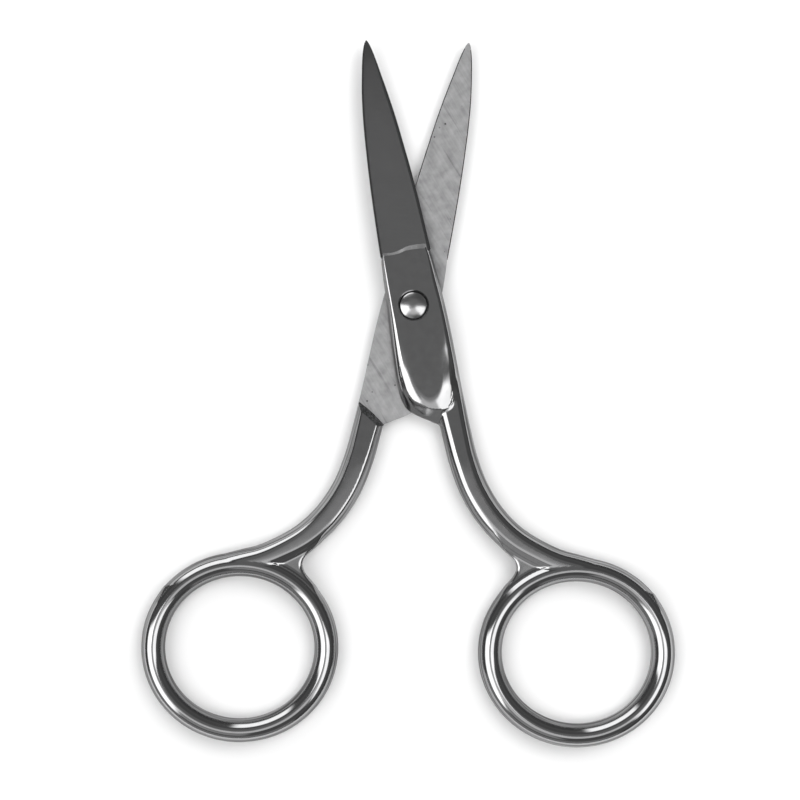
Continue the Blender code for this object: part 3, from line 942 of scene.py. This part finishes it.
lamps = (                           # name, side, power, place
    ("key", 0.6, 3.2, (0.42, 0.36, 0.6)),
    ("fill", 1.4, 3.4, (0, 0, 0.7)),
)
for name, side, power, place in lamps:
    light = bpy.data.lights.new(name, "AREA")
    light.shape = "RECTANGLE"
    light.size, light.size_y = side, side
    light.energy = power
    lamp = bpy.data.objects.new(name, light)
    lamp.location = place
    lamp.rotation_euler = Vector(place).to_track_quat("Z", "Y").to_euler()
    lamp.visible_glossy = False
    bpy.context.scene.collection.objects.link(lamp)

room_levels = (                     # tilt from straight above, in degrees, and brightness there
    (0, 0.19), (20, 0.185), (28, 0.10), (46, 0.10), (60, 0.12), (66, 0.08), (86, 0.08), (90, 0.3),
    (180, 0.3),
)
soft_patches = (                    # azimuth, half its span, lowest and highest tilt, soft edge, level
    (202, 24, 19, 56, 8, 2.0),
    (334, 20, 12, 38, 7, 1.7),
    (270, 38, 11, 23, 7, 0.60),
    (115, 18, 46, 74, 9, 1.7),
    (235, 30, 34, 50, 8, 0.25),
    (250, 45, 68, 92, 6, 0.17),
)
strip_slant = 0.07                  # places on the strip are slopes from straight overhead
strip_sides = ((-0.15, -0.09), (0.0, -0.04))
strip_ends = (0.75, 0.55)
strip_middle = 0.14                 # the strip's brightness overhead, and what its ends add
strip_left = 1.5
strip_left_rise = (-0.20, -0.42)
strip_right = 0.3
strip_right_rise = (0.22, 0.42)
least_height = 0.05                 # keeps directions near the floor from running off

world = bpy.data.worlds.new("studio")
bpy.context.scene.world = world
world.use_nodes = True
studio = Tree(world.node_tree)
direction = studio.add("ShaderNodeTexCoord").out("Generated")
height = studio.add("ShaderNodeSeparateXYZ", {0: direction}).out("Z")
tilt = height.maths("ARCCOSINE") * math.degrees(1)


def soft_patch(azimuth, half_span, low, high, soft, level):
    """Light from a patch of the room, its directions in degrees and its tilt from straight above."""
    faced = studio.add("ShaderNodeVectorRotate", {"Vector": direction, "Angle": -math.radians(azimuth)},
                       rotation_type="Z_AXIS")
    part = studio.add("ShaderNodeSeparateXYZ", {0: faced})
    aside = part.out("Y").maths("ARCTAN2", part.out("X")).maths("ABSOLUTE") * math.degrees(1)
    across = aside.step(half_span + soft, half_span)
    return across * tilt.step(low - soft, low) * tilt.step(high + soft, high) * level


part = studio.add("ShaderNodeSeparateXYZ", {0: direction})
flat_y = part.out("Y") / height.maths("MAXIMUM", least_height)
flat_x = part.out("X") / height.maths("MAXIMUM", least_height)
off_strip = flat_y - flat_x * strip_slant
strip = off_strip.step(*strip_sides[0]) * off_strip.step(*strip_sides[1])
strip = strip * (strip_middle + flat_x.step(*strip_left_rise) * strip_left
                 + flat_x.step(*strip_right_rise) * strip_right)
strip = strip * flat_x.maths("ABSOLUTE").step(*strip_ends)
room = studio.add("ShaderNodeValToRGB", {0: tilt / 180},
                  stops=[(angle / 180, (value, value, value, 1)) for angle, value in room_levels])
level = studio.add("ShaderNodeSeparateColor", {0: room}).out("Red") + strip
for patch in soft_patches:
    level = level + soft_patch(*patch)
world.node_tree.links.new(level.socket, world.node_tree.nodes["Background"].inputs["Color"])

photo_pitch = 0.14 * mm             # one pixel of the photo
photo_pixels = 800
photo_pivot = (413.4, 306.0)        # pixel where the pivot axis lies
photo_tilt = math.radians(0.88)     # of the pair's middle line in the photo
lens = 100.0
sensor = 36.0
camera_data = bpy.data.cameras.new("camera")
camera_data.lens = lens
camera_data.sensor_width = sensor
camera_data.clip_start = 0.01
camera = bpy.data.objects.new("camera", camera_data)
aim = Vector((photo_pixels / 2 - photo_pivot[0], photo_pivot[1] - photo_pixels / 2)) * photo_pitch
aim = Matrix.Rotation(photo_tilt, 2) @ aim
camera.location = (*aim, half_thickness + photo_pixels * photo_pitch * lens / sensor)
camera.rotation_euler = (0, 0, photo_tilt)
bpy.context.scene.collection.objects.link(camera)
bpy.context.scene.camera = camera
bpy.context.scene.view_settings.view_transform = "Standard"
